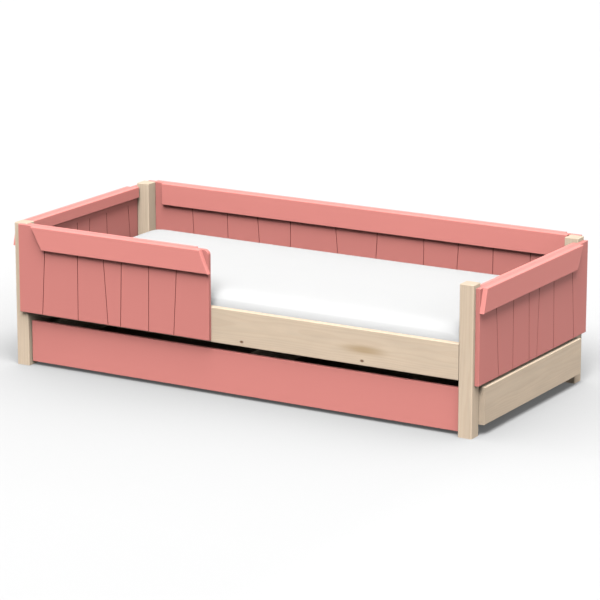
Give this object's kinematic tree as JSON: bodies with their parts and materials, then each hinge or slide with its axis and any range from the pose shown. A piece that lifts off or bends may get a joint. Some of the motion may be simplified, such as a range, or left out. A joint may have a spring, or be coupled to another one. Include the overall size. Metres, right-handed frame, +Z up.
{
  "type": "child's bed with drawer",
  "caption": "Low child's bed on pine posts with painted plank-look panels, a half-length front guard, a slatted base with mattress, and a full-length drawer on castors.",
  "frame": {"origin": "on the floor, under the middle of the bed", "axes": "+X along the bed's length towards its open end, +Y to the back panel, +Z up"},
  "size_m": [2.21, 1.046, 0.606],
  "materials": {
    "pine": "clear matt lacquer on pale pine",
    "pink_paint": "satin paint on fibreboard",
    "hardboard": "smooth faced board",
    "beech_dowel": "raw beech",
    "mattress_cover": "white woven cover on foam",
    "webbing": "woven strap",
    "zinc_steel": "zinc plated",
    "wheel_plastic": "moulded, matt"
  },
  "bodies": {
    "bed_frame": {"back_panel": "pink_paint", "back_strip_inner": "pink_paint", "back_strip_outer": "pink_paint", "bed_slats": "pine", "end_board_left": "pine", "end_board_right": "pine", "end_frame_dowels": "beech_dowel", "end_panel_left": "pink_paint", "end_panel_right": "pink_paint", "end_rail_left": "pine", "end_rail_right": "pine", "end_strip_inner_left": "pink_paint", "end_strip_inner_right": "pink_paint", "end_strip_outer_left": "pink_paint", "end_strip_outer_right": "pink_paint", "guard_panel": "pink_paint", "guard_strip_inner": "pink_paint", "guard_strip_outer": "pink_paint", "ledger_screws": "zinc_steel", "mattress": "mattress_cover", "panel_dowels": "beech_dowel", "panel_screws": "zinc_steel", "post_back_left": "pine", "post_back_right": "pine", "post_front_left": "pine", "post_front_right": "pine", "post_hook_plates": "zinc_steel", "rail_hook_plates": "zinc_steel", "side_rail_back": "pine", "side_rail_front": "pine", "slat_ledger_back": "pine", "slat_ledger_front": "pine", "slat_screws": "zinc_steel", "slat_strap_back": "webbing", "slat_strap_front": "webbing"},
    "drawer": {"castor_axles": "zinc_steel", "castor_housing_back_left": "zinc_steel", "castor_housing_back_right": "zinc_steel", "castor_housing_front_left": "zinc_steel", "castor_housing_front_right": "zinc_steel", "castor_screws": "zinc_steel", "drawer_back": "pine", "drawer_bottom_left": "hardboard", "drawer_bottom_right": "hardboard", "drawer_divider": "pine", "drawer_dowels": "beech_dowel", "drawer_front": "pink_paint", "drawer_side_left": "pine", "drawer_side_right": "pine"},
    "castor_wheel_back_left": {"castor_wheel_back_left": "wheel_plastic"},
    "castor_wheel_back_right": {"castor_wheel_back_right": "wheel_plastic"},
    "castor_wheel_front_left": {"castor_wheel_front_left": "wheel_plastic"},
    "castor_wheel_front_right": {"castor_wheel_front_right": "wheel_plastic"}
  },
  "joints": [
    {"name": "drawer_slide", "type": "slide", "parent": "bed_frame", "child": "drawer", "axis": [0, -1, 0], "range_m": [0, 0.7]},
    {"name": "wheel_spin_back_left", "type": "hinge", "parent": "drawer", "child": "castor_wheel_back_left", "pos_m": [-0.9555, 0.329, 0.02], "axis": [1, 0, 0], "continuous": true},
    {"name": "wheel_spin_back_right", "type": "hinge", "parent": "drawer", "child": "castor_wheel_back_right", "pos_m": [0.9555, 0.329, 0.02], "axis": [1, 0, 0], "continuous": true},
    {"name": "wheel_spin_front_left", "type": "hinge", "parent": "drawer", "child": "castor_wheel_front_left", "pos_m": [-0.9555, -0.386, 0.02], "axis": [1, 0, 0], "continuous": true},
    {"name": "wheel_spin_front_right", "type": "hinge", "parent": "drawer", "child": "castor_wheel_front_right", "pos_m": [0.9555, -0.386, 0.02], "axis": [1, 0, 0], "continuous": true}
  ],
  "couplings": [
    {"joint": "wheel_spin_back_left", "follows": "drawer_slide", "rad_per_m": 50},
    {"joint": "wheel_spin_back_right", "follows": "drawer_slide", "rad_per_m": 50},
    {"joint": "wheel_spin_front_left", "follows": "drawer_slide", "rad_per_m": 50},
    {"joint": "wheel_spin_front_right", "follows": "drawer_slide", "rad_per_m": 50}
  ]
}
